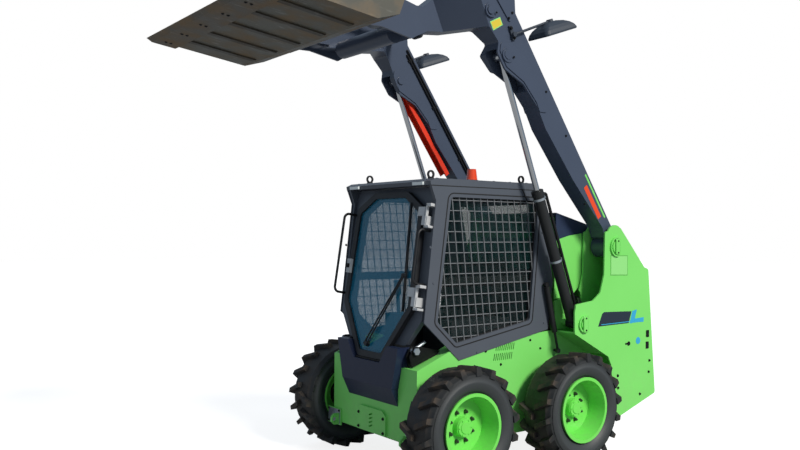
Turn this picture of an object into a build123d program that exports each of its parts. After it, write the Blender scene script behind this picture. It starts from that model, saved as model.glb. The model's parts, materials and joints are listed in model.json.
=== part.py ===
"""Skid steer loader with its lift arms raised.

Millimetres, +Z up, the machine faces -Y and its left side is +X.
Side outlines are (y, z) pairs, y counted from mid-wheelbase; mid_y carries them into the frame.
"""

import os
from math import atan2, cos, degrees, hypot, radians, sin

from build123d import *

os.makedirs("parts", exist_ok=True)

# ---- driving dimensions ----------------------------------------------------
mid_y = 265  # mid-wheelbase, so that the whole machine is centred on y = 0
wheelbase = 1010
axle_y = wheelbase / 2
tyre_r = 386.5
tyre_width = 264
rim_r = 215

tub_half = 490  # lower frame's side walls
wall = 12
track_x = tub_half + 200  # tyre centre from the middle plane
cab_half = tub_half + 6  # outer face of the cab's side panels
cab_inner = tub_half - 28
lean = degrees(atan2(175, 1110))  # the door leans back
door_foot = (-735, 750)

plate_inner = (tub_half + 2, tub_half + 14)  # tower plates, from and to
arm_x = (tub_half + 40, tub_half + 170)  # arms, along the cab
plate_outer = (arm_x[1] + 30, arm_x[1] + 42)
side_plate = 14
nose_x = (310, 425)  # the arms' front ends, set in towards the middle
lift_x = sum(arm_x) / 2  # lift cylinders
tilt_x = 190

arm_pivot = (965, 1500)
lift_base = (620, 957)
lift_pin = (-95, 2770)
lift_barrel_length = 1000
bucket_pivot = (-930, 2966)
tilt_base = (-200, 3060)
tilt_pin = (-980, 3146)
tube_centre = (-760, 2879)
tube_r = 62
lock_pivot = (-20, 2680)
lock_end = (416, 2070)
hood_pivot = (600, 1705)
post_x = tub_half - 90  # posts under the hood's front edge

arm_pin_r = 30
lift_pin_r = 22
bucket_pin_r = 25
tilt_pin_r = 18
hood_pin_r = 10
door_pin_r = 8
tie_eye = (-748, 261)
tie_eye_r = 17
fit = 0.05  # radial clearance of a pin in its bore
gap = 0.3  # between pieces of different bodies that face each other


# ---- shared ways of drawing -------------------------------------------------
def side(x):
    """Side-view plane at x: its own x runs along y, from mid-wheelbase."""
    return Plane(origin=(x, mid_y, 0), x_dir=(0, 1, 0), z_dir=(1, 0, 0))


def slab(points, x_from, x_to, mode=Mode.ADD, radius=0):
    """A side outline, drawn through from one x to another."""
    with BuildSketch(side(x_from)) as outline:
        with BuildLine():
            if radius:
                FilletPolyline(*points, radius=radius, close=True)
            else:
                Polyline(*points, close=True)
        make_face()
    extrude(outline.sketch, amount=x_to - x_from, mode=mode)


def block(x_from, x_to, y_from, y_to, z_from, z_to, mode=Mode.ADD):
    """A box between two x, two y and two z."""
    centre = ((x_from + x_to) / 2, mid_y + (y_from + y_to) / 2, (z_from + z_to) / 2)
    with Locations(centre):
        Box(abs(x_to - x_from), y_to - y_from, z_to - z_from, mode=mode)


def disc(centre, x_from, x_to, r, mode=Mode.ADD):
    """A cylinder across the machine about a (y, z) centre."""
    with BuildSketch(side(x_from)) as circle:
        with Locations(centre):
            Circle(r)
    extrude(circle.sketch, amount=x_to - x_from, mode=mode)


def bar(x, start, end, r, mode=Mode.ADD):
    """A round bar in a side plane, between two (y, z) points."""
    along = Vector(0, end[0] - start[0], end[1] - start[1])
    foot = Plane(origin=(x, mid_y + start[0], start[1]), x_dir=(1, 0, 0), z_dir=along)
    with BuildSketch(foot) as circle:
        Circle(r)
    extrude(circle.sketch, amount=along.length, mode=mode)


def along(start, end, distance):
    """The (y, z) point at a distance from start towards end."""
    length = hypot(end[0] - start[0], end[1] - start[1])
    return tuple(a + (b - a) * distance / length for a, b in zip(start, end))


def beside(start, end, distance, offset):
    """The point along(start, end, distance), moved off the line to its left."""
    length = hypot(end[0] - start[0], end[1] - start[1])
    y, z = along(start, end, distance)
    return (y - (end[1] - start[1]) * offset / length, z + (end[0] - start[0]) * offset / length)


def save(piece, name):
    """Name a finished piece and write its file."""
    piece.label = name
    export_step(piece, f"parts/{name}.step")


# ---- lower frame: an open welded tub ------------------------------------------
tub_outline = [
    (-700, 240), (-700, 720), (-360, 850), (520, 900), (1370, 900), (1385, 400), (960, 215), (-650, 215),
]
tub_inside = [
    (-700 + wall, 252), (-700 + wall, 990), (1500, 990), (1500, 410), (955, 227), (-645, 227),
]

with BuildPart() as lower_frame:
    slab(tub_outline, -tub_half, tub_half)
    slab(tub_inside, -tub_half + wall, tub_half - wall, mode=Mode.SUBTRACT)
    # fender steps ahead of the cab, folded in from the walls
    for hand in (-1, 1):
        slab(
            [(-700 + wall, 712), (-360, 842), (-360, 830), (-700 + wall, 700)],
            hand * (tub_half - 130),
            hand * (tub_half - wall),
        )
    block(-tub_half + wall, tub_half - wall, -688, 420, 470, 482)
    block(-tub_half + wall, tub_half - wall, 408, 420, 227, 880)
    # cover over the front hatch, with its slots
    hatch_corners = [(-170, -82), (170, -82), (170, 50), (130, 82), (-130, 82), (-170, 50)]
    with BuildSketch(Plane(origin=(0, mid_y - 700, 326), x_dir=(1, 0, 0), z_dir=(0, -1, 0))) as hatch:
        with BuildLine():
            FilletPolyline(*hatch_corners, radius=12, close=True)
        make_face()
        with GridLocations(1, 26, 1, 4):
            SlotOverall(48, 11, rotation=20, mode=Mode.SUBTRACT)
    extrude(hatch.sketch, amount=16)
    # tie-down plates, and the ear that takes a shackle
    ear = [(-712, 222), (-712, 300), (-752, 300), (-775, 277), (-775, 245), (-752, 222)]
    for hand in (-1, 1):
        block(hand * (tub_half - 105), hand * (tub_half + 58), -712, -700, 216, 330)
        slab(ear, hand * (tub_half - 88), hand * (tub_half - 70))
        disc(tie_eye, hand * (tub_half - 88), hand * (tub_half - 70), tie_eye_r, mode=Mode.SUBTRACT)
    # louvres in the side walls
    with BuildSketch(side(-tub_half - 10)) as louvres:
        for row_z, row_y in ((752, 40), (816, 60)):
            with Locations((row_y, row_z)):
                with GridLocations(18, 1, 10, 1):
                    SlotOverall(50, 7, rotation=78)
    extrude(louvres.sketch, amount=2 * tub_half + 20, mode=Mode.SUBTRACT)
    # posts and pins that carry the engine hood's front edge
    post = [(590, 227), (630, 227), (630, 1690), (616, 1715), (584, 1715), (590, 1650)]
    for hand in (-1, 1):
        slab(post, hand * post_x, hand * (post_x + 40))
        disc(hood_pivot, hand * (post_x - 70), hand * post_x, hood_pin_r)
    block(-post_x, post_x, 592, 628, 1560, 1600)
save(lower_frame.part, "lower_frame")

with BuildPart() as axle_housings:
    for hand in (-1, 1):
        for y in (-axle_y, axle_y):
            disc((y, tyre_r), hand * tub_half, hand * (track_x - 50), 70)
            disc((y, tyre_r), hand * tub_half, hand * (tub_half + 30), 110)
            disc((y, tyre_r), hand * (track_x - 50), hand * (track_x - 15 - gap), 115)
save(axle_housings.part, "axle_housings")

with BuildPart() as engine_block:
    block(-260, 260, 660, 940, 227, 1060)
    block(-230, 230, 940, 1180, 420, 980)
save(engine_block.part, "engine_block")

# ---- towers: outer and inner plate, closed behind ----------------------------
tower_top = (950, 1570)
tower_outline = [
    (841, 1607), (832, 1298), (790, 1170), (715, 1118), (535, 1098), (523, 1040), (524, 894),
    (880, 708), (915, 640), (945, 262), (967, 248), (1422, 391), (1339, 1330), (1291, 1344), (1010, 1640),
]
tower_inner = [
    (841, 1607), (832, 1298), (790, 1170), (535, 1110), (535, 905), (1380, 905), (1330, 1330), (1010, 1640),
]
tower_rear = [
    (1422, 391), (1339, 1330), (1291, 1344), (1045, 1597), (1036, 1588), (1286, 1331), (1328, 1318), (1408, 400),
]
tower_arch = [(535, 905), (535, 893), (890, 715), (1375, 715), (1375, 727), (893, 727)]

rear_foot, rear_shoulder = (1422, 391), (1339, 1330)
rear_hinges = (130, 690)  # up the towers' rear edge
rear_hinge_x = tub_half - 10
rear_hinge_out = 40


def rear_line(z, out):
    """The point at a height on the towers' rear edge, moved out behind it."""
    slope = (rear_shoulder[0] - rear_foot[0]) / (rear_shoulder[1] - rear_foot[1])
    return (rear_foot[0] + (z - rear_foot[1]) * slope + out, z)


def rear_leaf(up_from, up_to, out_from, out_to):
    """Corners of a hinge leaf drawn square to the towers' rear edge."""
    corners = [(up_from, out_from), (up_from, out_to), (up_to, out_to), (up_to, out_from)]
    return [beside(rear_foot, rear_shoulder, up, -out) for up, out in corners]


def rear_pin(up_from, up_to):
    """Ends of a length of the rear door's hinge axis."""
    return [beside(rear_foot, rear_shoulder, up, -rear_hinge_out) for up in (up_from, up_to)]


for hand, name in ((1, "tower_left"), (-1, "tower_right")):
    with BuildPart() as tower:
        slab(tower_outline, hand * plate_outer[0], hand * plate_outer[1], radius=20)
        disc(tower_top, hand * plate_outer[0], hand * plate_outer[1], 88)
        slab(tower_inner, hand * plate_inner[0], hand * plate_inner[1], radius=20)
        disc(tower_top, hand * plate_inner[0], hand * plate_inner[1], 88)
        disc((740, 1130), hand * plate_inner[0], hand * plate_inner[1], 70, mode=Mode.SUBTRACT)
        slab(tower_rear, hand * plate_inner[1], hand * plate_outer[0])
        slab(tower_arch, hand * tub_half, hand * plate_outer[0])
        disc(arm_pivot, hand * plate_inner[1], hand * plate_outer[0], arm_pin_r)
        disc(lift_base, hand * plate_inner[1], hand * plate_outer[0], lift_pin_r)
        for pivot, r in ((arm_pivot, 46), (lift_base, 34)):
            disc(pivot, hand * plate_outer[1], hand * (plate_outer[1] + 10), r)
            with BuildSketch(side(hand * plate_outer[1])) as keeper:
                with Locations(pivot):
                    Circle(r + 26)
                    Circle(r + 16, mode=Mode.SUBTRACT)
                    with Locations((r, 0)):
                        Rectangle(2 * r, 3 * r, mode=Mode.SUBTRACT)
            extrude(keeper.sketch, amount=hand * 14)
        # lower half of the rear door's two hinges, on the left tower
        if hand > 0:
            for up in rear_hinges:
                slab(rear_leaf(up, up + 28, -16, 52), rear_hinge_x - 6, plate_inner[1] + 30)
                bar(rear_hinge_x, *rear_pin(up, up + 60), door_pin_r)
    save(tower.part, name)

# ---- cab ----------------------------------------------------------------------
cab_outline = [(-598, 1900), (-558, 1800), (-650, 1020), (-358, 759), (469, 911), (520, 1250), (385, 1900)]
window = [(-430, 1827), (372, 1823), (289, 985), (-380, 873), (-540, 1020)]
window_r = 25
roof_top = 1945
cab_lining = [(-590, 1900), (-551, 1800), (-640, 1020), (-470, 870), (440, 915), (500, 1250), (370, 1900)]
roof_outline = [
    (-605, 1925), (-600, 1900), (385, 1900), (372, 1925), (330, roof_top), (-560, roof_top),
]

door_plane = Plane(
    origin=(0, mid_y + door_foot[0], door_foot[1]),
    x_dir=(1, 0, 0),
    z_dir=(0, -cos(radians(lean)), sin(radians(lean))),
)
door_depth = 34
seal = 6
door_half = cab_half - 96
door_right = [(-190, 1134), (20 - door_half, 1023), (-door_half, 354), (-140, 0)]
door_outline = door_right + [(-x, s) for x, s in reversed(door_right)]


def front_panel(points, back, depth, radius, mode=Mode.ADD):
    """An outline in the door's plane, drawn through from `back` behind it."""
    with BuildSketch(door_plane.offset(-back)) as outline:
        with BuildLine():
            FilletPolyline(*points, radius=radius, close=True)
        make_face()
    extrude(outline.sketch, amount=-depth, mode=mode)


def shrunk(points, by):
    """A convex outline about x = 0, drawn in by about the same amount all round."""
    mid_s = (max(s for _, s in points) + min(s for _, s in points)) / 2
    half_s = max(s for _, s in points) - mid_s
    half_x = max(x for x, _ in points)
    return [(x * (half_x - by) / half_x, mid_s + (s - mid_s) * (half_s - by) / half_s) for x, s in points]


frame_right = [(51 - cab_half, 1165), (26 - cab_half, 1060), (26 - cab_half, 290), (-330, 118)]
frame_outline = frame_right + [(-x, s) for x, s in reversed(frame_right)]

with BuildPart() as cab_frame:
    for hand in (-1, 1):
        slab(cab_outline, hand * tub_half, hand * cab_half)
        slab(cab_lining, hand * cab_inner, hand * tub_half)
        slab(window, hand * cab_inner, hand * cab_half, mode=Mode.SUBTRACT, radius=window_r)
    slab(roof_outline, -cab_half, cab_half)
    front_panel(frame_outline, door_depth + seal, 36, 30)
    front_panel(shrunk(door_outline, 45), 0, 140, 30, mode=Mode.SUBTRACT)
    slab([(385, 1900), (520, 1250), (469, 905), (445, 905), (495, 1250), (360, 1900)], -cab_inner, cab_inner)
    block(-380, 380, 300, 560, 1330, 1800, mode=Mode.SUBTRACT)
save(cab_frame.part, "cab_frame")

with BuildPart() as cab_glass:
    slab([(393, 1800), (490.6, 1330), (484.4, 1330), (386.8, 1800)], -380, 380)
save(cab_glass.part, "cab_glass")

guard_x = cab_half - 12
guard_middle = (-80, 1360)
wire = 5.5
wire_length = 1400
upright_lean = 6.8
# where the layer lies, spacing along y and z, how many each way, one wire's sides and its turn
wire_layers = [
    (guard_x, 62, 1, 18, 1, wire, wire_length, upright_lean),
    (guard_x - wire + 1, 1, 69, 1, 16, wire_length, wire, 0),
]
for hand, name in ((1, "side_guard_left"), (-1, "side_guard_right")):
    with BuildPart() as guard:
        for x, pitch_y, pitch_z, across, up, size_y, size_z, turn in wire_layers:
            with BuildSketch(side(hand * x)) as grid:
                with Locations(guard_middle):
                    with GridLocations(pitch_y, pitch_z, across, up):
                        Rectangle(size_y, size_z, rotation=turn)
                with BuildLine():
                    FilletPolyline(*window, radius=window_r + 5, close=True)
                make_face(mode=Mode.INTERSECT)
            extrude(grid.sketch, amount=-hand * wire)
    save(guard.part, name)

with BuildPart() as cab_seat:
    slab([(-130, 900), (330, 900), (390, 1400), (300, 1400), (220, 1010), (-130, 1010)], -235, 235, radius=25)
save(cab_seat.part, "cab_seat")

with BuildPart() as cab_controls:
    for hand in (-1, 1):
        block(hand * 260, hand * 380, -330, 200, 860, 1000)
        bar(hand * 320, (-250, 990), (-260, 1160), 14)
        bar(hand * 320, (-260, 1140), (-266, 1240), 26)
        block(hand * 260, hand * (cab_inner - 12), -330, 330, 482, 860)
    block(-220, 220, -100, 320, 482, 900)
save(cab_controls.part, "cab_controls")

kick_right = [(-294, 580), (-360, 850), (-230, 850), (-150, 735)]
kick_face = kick_right + [(-x, z) for x, z in reversed(kick_right)]
with BuildPart() as kick_panel:
    with BuildSketch(Plane(origin=(0, mid_y - 756, 0), x_dir=(1, 0, 0), z_dir=(0, -1, 0))) as face:
        with BuildLine():
            Polyline(*kick_face, close=True)
        make_face()
    extrude(face.sketch, amount=-(756 - 700))
    for hand in (-1, 1):
        slab([(-700, 722), (-700, 850), (-640, 850), (-640, 745)], hand * 325, hand * 345)
    slab([(-756, 580), (-700, 580), (-700, 463)], -290, 290)
save(kick_panel.part, "kick_panel")

with BuildPart() as lifting_eyes:
    for x in (-356, 356):
        for y in (-492, 336):
            with Locations((x, mid_y + y, roof_top + 6)):
                Cylinder(22, 12)
            disc((y, roof_top + 34), x - 6, x + 6, 28)
            disc((y, roof_top + 34), x - 6, x + 6, 17, mode=Mode.SUBTRACT)
save(lifting_eyes.part, "lifting_eyes")

with BuildPart() as roof_lamps:
    for hand in (-1, 1):
        slab([(-620, 1922), (-604.4, 1922), (-600.4, 1902), (-618, 1902)], hand * 320, hand * 430)
save(roof_lamps.part, "roof_lamps")

with BuildPart() as beacon:
    with Locations((250, mid_y - 40, roof_top + 8)):
        Cylinder(48, 16)
    with Locations((250, mid_y - 40, roof_top + 16)):
        Cone(40, 30, 80, align=(Align.CENTER, Align.CENTER, Align.MIN))
save(beacon.part, "beacon")

def leaned(x, s, out):
    """A point of the door's plane, s up from its foot and out in front of it."""
    return door_plane.from_local_coords(Vector(x, s, out))


door_hinge_x = cab_half - 78
door_hinge_out = 4
door_hinges = (435, 962)  # how far up the door plane


def hinge_half(x_from, x_to, s_from, s_to, back, front):
    """A block in the door plane's own directions."""
    with BuildSketch(door_plane.offset(back)) as foot:
        with Locations(((x_from + x_to) / 2, (s_from + s_to) / 2)):
            Rectangle(x_to - x_from, s_to - s_from)
    extrude(foot.sketch, amount=front - back)


def hinge_round(x, s_from, s_to, r, mode=Mode.ADD):
    """A round piece about the door hinge's axis."""
    start = leaned(x, s_from, door_hinge_out)
    with BuildSketch(Plane(origin=start, x_dir=(1, 0, 0), z_dir=door_plane.y_dir)) as circle:
        Circle(r)
    extrude(circle.sketch, amount=s_to - s_from, mode=mode)


with BuildPart() as door_hinge_posts:
    for s in door_hinges:
        hinge_half(door_hinge_x - 12, door_hinge_x + 40, s - 60, s, -door_depth - seal, 16)
        hinge_round(door_hinge_x, s - 60, s + 60, door_pin_r)
save(door_hinge_posts.part, "door_hinge_posts")

# side of the cab, foot and top of the loop up the door plane, how far out, tube radius
handles = [(46 - cab_half, 415, 985, 62, 9), (cab_half - 46, 520, 870, 62, 9)]
with BuildPart() as grab_handles:
    for x, s_low, s_high, out, r in handles:
        back = -door_depth - seal
        corners = [(s_low, back), (s_low, out), (s_high, out), (s_high, back)]
        with BuildLine() as loop:
            FilletPolyline(*[leaned(x, *corner) for corner in corners], radius=38)
        with BuildSketch(Plane(origin=leaned(x, s_low, back), z_dir=door_plane.z_dir)) as circle:
            Circle(r)
        sweep(circle.sketch, path=loop.line)
save(grab_handles.part, "grab_handles")

strut_top, strut_foot = (425, 1232), (545, 756)
strut_x = tub_half + 34
with BuildPart() as gas_struts:
    for hand in (-1, 1):
        bar(hand * strut_x, along(strut_top, strut_foot, 16), along(strut_top, strut_foot, 350), 20)
        bar(hand * strut_x, along(strut_top, strut_foot, 340), along(strut_top, strut_foot, 480), 9)
        for eye, reach in ((strut_top, cab_half), (strut_foot, tub_half)):
            disc(eye, hand * (strut_x + 10), hand * (strut_x - 10), 17)
            disc(eye, hand * (strut_x - 10), hand * reach, 9)
save(gas_struts.part, "gas_struts")

# ---- door -----------------------------------------------------------------------
with BuildPart() as door_frame:
    front_panel(door_outline, 0, door_depth, 45)
    front_panel(shrunk(door_outline, 42), 0, door_depth, 35, mode=Mode.SUBTRACT)
    front_panel(shrunk(door_outline, 34), 14, 6, 38, mode=Mode.SUBTRACT)
save(door_frame.part, "door_frame")

with BuildPart() as door_hinge_leaves:
    for s in door_hinges:
        hinge_half(door_hinge_x - 60, door_hinge_x + 10, s + 1, s + 60, 0, 16)
        hinge_round(door_hinge_x, s + 1, s + 60, door_pin_r + fit, mode=Mode.SUBTRACT)
    hinge_half(4 - door_half, 48 - door_half, 560, 660, 0, 22)
save(door_hinge_leaves.part, "door_hinge_leaves")

with BuildPart() as door_glass:
    front_panel(shrunk(door_outline, 34), 14, 6, 38)
save(door_glass.part, "door_glass")

# ---- engine hood and rear door ----------------------------------------------------
hood_outline = [(580, 1745), (950, 1655), (1340, 1362), (1340, 1332), (1250, 1250), (1250, 1180), (580, 1180)]
hood_inside = [(560, 1736), (946, 1642), (1328, 1355), (1328, 1100), (560, 1100)]
with BuildPart() as engine_hood:
    slab(hood_outline, 20 - tub_half, tub_half - 20)
    slab(hood_inside, 32 - tub_half, tub_half - 32, mode=Mode.SUBTRACT)
    for hand in (-1, 1):
        lug = [(590, 1733), (650, 1718), (615, 1688), (588, 1688)]
        slab(lug, hand * (post_x - 55), hand * (post_x - 37))
        disc(hood_pivot, hand * (post_x - 70), hand * (post_x - 20), hood_pin_r + fit, mode=Mode.SUBTRACT)
save(engine_hood.part, "engine_hood")

with BuildPart() as rear_door:
    sheet = [(420, 2), (420, 40), (1180, 40), (1290, 5), (1290, 2)]
    slab([rear_line(z, out) for z, out in sheet], 24 - tub_half, tub_half - 24)
    with BuildSketch(Plane(origin=(0, mid_y + 1500, 700), x_dir=(1, 0, 0), z_dir=(0, -1, 0))) as slots:
        with GridLocations(1, 34, 1, 12):
            SlotOverall(620, 16)
    extrude(slots.sketch, amount=200, mode=Mode.SUBTRACT)
    for up in rear_hinges:
        slab(rear_leaf(up + 29, up + 60, 28, 52), rear_hinge_x - 50, rear_hinge_x + 12)
        bar(rear_hinge_x, *rear_pin(up + 20, up + 70), door_pin_r + fit, mode=Mode.SUBTRACT)
save(rear_door.part, "rear_door")

# ---- lift arms ---------------------------------------------------------------------
arm_outline = [
    (889, 1560), (860, 1640), (545, 1971), (266, 2312), (190, 2450), (55, 2592), (-115, 2672), (-185, 2775),
    (-175, 2845), (-258, 2934), (-580, 2898), (-900, 2878), (-970, 3046), (-620, 3050), (-350, 3260),
    (-130, 3290), (-35, 3200), (-25, 3054), (961, 1644), (1030, 1540),
]
arm_radius = 28
# seen from above, level with the elbow: x and y, straight along the cab, then set in at the nose
elbow_z = 2934
elbow_lean = Vector(0, -0.44, 1)
arm_plan = [
    (arm_x[1], 1100), (arm_x[1], -258), (nose_x[1], -460), (nose_x[1], -1100),
    (nose_x[0], -1100), (nose_x[0], -410), (arm_x[0], -215), (arm_x[0], 1100),
]
tilt_boss = (-250, 3040)
cover_plate = [(-150, 3262), (-205, 3130), (-80, 2985), (-45, 3030), (-55, 3190), (-120, 3262)]
doubler = [
    (-165, 2785), (-105, 2690), (55, 2608), (178, 2478), (205, 2420), (270, 2420), (288, 2458),
    (78, 2772), (-60, 2850), (-155, 2845),
]
fork = [
    (-320, 2775), (-170, 2800), (-130, 2830), (-60, 2840), (30, 2750), (115, 2600), (60, 2450), (-320, 2450),
]
for hand, name in ((1, "lift_arm_left"), (-1, "lift_arm_right")):
    with BuildPart() as arm:
        slab(arm_outline, hand * nose_x[0], hand * arm_x[1], radius=arm_radius)
        disc(arm_pivot, hand * arm_x[0], hand * arm_x[1], 80)
        disc(bucket_pivot, hand * nose_x[0], hand * nose_x[1], 85)
        with BuildSketch(Plane(origin=(0, mid_y, elbow_z))) as plan:
            with BuildLine():
                Polyline(*[(hand * x, y) for x, y in arm_plan], close=True)
            make_face()
        extrude(plan.sketch, amount=1800, dir=elbow_lean.normalized(), both=True, mode=Mode.INTERSECT)
        slab(fork, hand * (arm_x[0] + side_plate), hand * (arm_x[1] - side_plate), mode=Mode.SUBTRACT)
        disc(arm_pivot, hand * arm_x[0], hand * arm_x[1], arm_pin_r + fit, mode=Mode.SUBTRACT)
        disc(bucket_pivot, hand * nose_x[0], hand * nose_x[1], bucket_pin_r + fit, mode=Mode.SUBTRACT)
        for boss, r in ((lift_pin, 30), (tilt_boss, 26)):
            disc(boss, hand * arm_x[1], hand * (arm_x[1] + 10), r)
            with BuildSketch(side(hand * arm_x[1])) as keeper:
                with Locations(boss):
                    Circle(r + 22)
                    Circle(r + 12, mode=Mode.SUBTRACT)
                    with Locations((45, 30)):
                        Rectangle(90, 140, rotation=30, mode=Mode.SUBTRACT)
            extrude(keeper.sketch, amount=hand * 12)
        slab(cover_plate, hand * arm_x[1], hand * (arm_x[1] + 8), radius=12)
        for face_x, out in ((arm_x[1], 1), (arm_x[0], -1)):
            slab(doubler, hand * face_x, hand * (face_x + 6 * out), radius=18)
        disc(lift_pin, hand * (arm_x[0] - 6), hand * (arm_x[0] - 16), 30)
    save(arm.part, name)

with BuildPart() as cross_tubes:
    disc(tube_centre, -nose_x[0], nose_x[0], tube_r)
    disc(tilt_base, -arm_x[0], arm_x[0], 25)
save(cross_tubes.part, "cross_tubes")

mirror_foot = (-55, 2905)
mirror_head = (310, 2960)
mirror_x = 682
with BuildPart() as mirrors:
    for hand in (-1, 1):
        slab([(-97, 2958), (-66, 2967), (-28, 2874), (-58, 2864)], hand * arm_x[1], hand * (arm_x[1] + 14), radius=6)
        base = Plane(
            origin=(hand * mirror_x, mid_y + mirror_head[0], mirror_head[1]),
            x_dir=(1, 0, 0),
            z_dir=(0, -sin(radians(20)), cos(radians(20))),
        )
        with BuildSketch(base) as rim_shape:
            RectangleRounded(200, 320, 24)
        extrude(rim_shape.sketch, amount=10)
        with BuildSketch(base.offset(10)) as low:
            RectangleRounded(196, 316, 22)
        with BuildSketch(base.offset(88)) as high:
            RectangleRounded(46, 46, 10)
        loft([low.sketch.face(), high.sketch.face()])
        apex = (mirror_head[0] - 76 * sin(radians(20)), mirror_head[1] + 76 * cos(radians(20)))
        bar(hand * mirror_x, mirror_foot, apex, 9)
        disc(mirror_foot, hand * (arm_x[1] + 14), hand * (mirror_x + 10), 16)
save(mirrors.part, "mirrors")

# pipes clipped along the inner face of each arm
arm_back = ((961, 1644), (-25, 3054))
with BuildPart() as arm_pipes:
    for hand in (-1, 1):
        for offset, reach in ((32, 1690), (54, 1660)):
            x = hand * (arm_x[0] - 9)
            ends = [beside(*arm_back, 420, offset), beside(*arm_back, reach, offset)]
            bar(x, *ends, 7)
            for point in ends:
                disc(point, x, hand * arm_x[0], 7)
        for reach in (700, 1180, 1600):
            clip = [(reach, 18), (reach + 24, 18), (reach + 24, 68), (reach, 68)]
            slab([beside(*arm_back, *corner) for corner in clip], hand * (arm_x[0] - 9), hand * arm_x[0])
save(arm_pipes.part, "arm_pipes")

lock_skin = [(-25, -26), (750, -26), (750, 12), (-25, 12)]
lock_hollow = [(-35, -36), (760, -36), (760, 6), (-35, 6)]
with BuildPart() as arm_lock:
    for corners, half, mode in ((lock_skin, 38, Mode.ADD), (lock_hollow, 32, Mode.SUBTRACT)):
        outline = [beside(lock_pivot, lock_end, *corner) for corner in corners]
        slab(outline, -lift_x - half, -lift_x + half, mode=mode)
    disc(lock_pivot, gap + side_plate - arm_x[1], -arm_x[0] - side_plate - gap, 12)
save(arm_lock.part, "arm_lock")

# ---- coupler and bucket ---------------------------------------------------------------
coupler_half = 560
coupler_gap = 5  # between the coupler's ears and the arms' noses
ear = 16
inner_ear = [(-1045, 2895), (-1045, 3100), (-950, 3040), (-875, 2985), (-870, 2895)]
outer_ear = [
    (-1045, 2866), (-1045, 3100), (-850, 3080), (-680, 3040), (-690, 2985), (-640, 2935), (-592, 2893),
    (-690, 2845), (-722, 2826), (-955, 2868),
]
tilt_ear = [(-1045, 3000), (-1045, 3195), (-965, 3185), (-945, 3150), (-960, 3110)]
inner_ear_x = nose_x[0] - coupler_gap - ear
outer_ear_x = nose_x[1] + coupler_gap
with BuildPart() as coupler:
    slab([(-1045, 2862), (-1045, 3200), (-1061, 3200), (-1061, 2862)], -coupler_half, coupler_half)
    for hand in (-1, 1):
        slab(inner_ear, hand * inner_ear_x, hand * (inner_ear_x + ear), radius=20)
        slab(outer_ear, hand * outer_ear_x, hand * (outer_ear_x + ear), radius=12)
        disc(bucket_pivot, hand * inner_ear_x, hand * (outer_ear_x + ear), bucket_pin_r)
        for x_from in (tilt_x - 31 - ear, tilt_x + 31):
            slab(tilt_ear, hand * x_from, hand * (x_from + ear), radius=12)
save(coupler.part, "coupler")

bucket_half = 840
bucket_wall = 14
lip = (-1980, 2886)
heel = (-1260, 2788)
bucket_outline = [
    lip, heel, (-1110, 2835), (-1061, 2960), (-1061, 3230), (-1120, 3240), (-1140, 3215), (-1890, 2935),
]
bucket_inside = [
    (-2100, 2914), (-1262, 2800), (-1118, 2845), (-1075, 2964), (-1075, 3220), (-1120, 3230),
    (-1150, 3400), (-2200, 3400),
]
with BuildPart() as bucket_shell:
    slab(bucket_outline, -bucket_half, bucket_half)
    slab(bucket_inside, bucket_wall - bucket_half, bucket_half - bucket_wall, mode=Mode.SUBTRACT)
save(bucket_shell.part, "bucket_shell")

edge_thick = 18
with BuildPart() as cutting_edge:
    slab(
        [lip, beside(lip, heel, 215, 0), beside(lip, heel, 205, -edge_thick), beside(lip, heel, 40, -edge_thick)],
        -bucket_half,
        bucket_half,
    )
save(cutting_edge.part, "cutting_edge")

strip_pitch = 310
strip_corners = [(217, 0), (700, 0), (690, -10), (217, -10)]
with BuildPart() as wear_strips:
    for i in range(-2, 3):
        outline = [beside(lip, heel, *corner) for corner in strip_corners]
        slab(outline, i * strip_pitch - 22, i * strip_pitch + 22)
save(wear_strips.part, "wear_strips")

# ---- cylinders --------------------------------------------------------------------------
lift_length = hypot(lift_pin[0] - lift_base[0], lift_pin[1] - lift_base[1])
tilt_length = hypot(tilt_pin[0] - tilt_base[0], tilt_pin[1] - tilt_base[1])
# name, centre x, base, pin, base pin r, barrel r, barrel end, rod r, rod inner end, eye r, eye half width
cylinders = [
    ("lift", lift_x, lift_base, lift_pin, lift_pin_r, 39, lift_barrel_length, 20, lift_length - 990, 36, 34),
    ("tilt", tilt_x, tilt_base, tilt_pin, 25, 30, 430, 18, tilt_length - 490, 28, 28),
]
for kind, x, base, pin, base_r, barrel_r, barrel_end, rod_r, rod_start, eye_r, eye_half in cylinders:
    for hand, side_name in ((1, "left"), (-1, "right")):
        with BuildPart() as barrel:
            disc(base, hand * x - eye_half, hand * x + eye_half, base_r + 18)
            bar(hand * x, along(base, pin, base_r + 6), along(base, pin, barrel_end), barrel_r)
            bar(hand * x, along(base, pin, barrel_end - 40), along(base, pin, barrel_end), barrel_r + 4)
            bore = [along(base, pin, base_r + 30), along(base, pin, barrel_end)]
            bar(hand * x, *bore, rod_r + fit, mode=Mode.SUBTRACT)
            disc(base, hand * x - eye_half, hand * x + eye_half, base_r + fit, mode=Mode.SUBTRACT)
        save(barrel.part, f"{kind}_barrel_{side_name}")
        with BuildPart() as rod:
            bar(hand * x, along(base, pin, rod_start), pin, rod_r)
            disc(pin, hand * x - eye_half, hand * x + eye_half, eye_r)
        save(rod.part, f"{kind}_rod_{side_name}")

# ---- wheels -------------------------------------------------------------------------------
lug_count = 18  # on each side, the two sides half a pitch apart
lug_foot_r = 330
# x and radius of the carcass, from one sidewall's bulge over the crown to the other's
carcass = [(-132, 285), (-122, 338), (-92, 358), (92, 358), (122, 338), (132, 285)]
bead = (100, 224)


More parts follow.
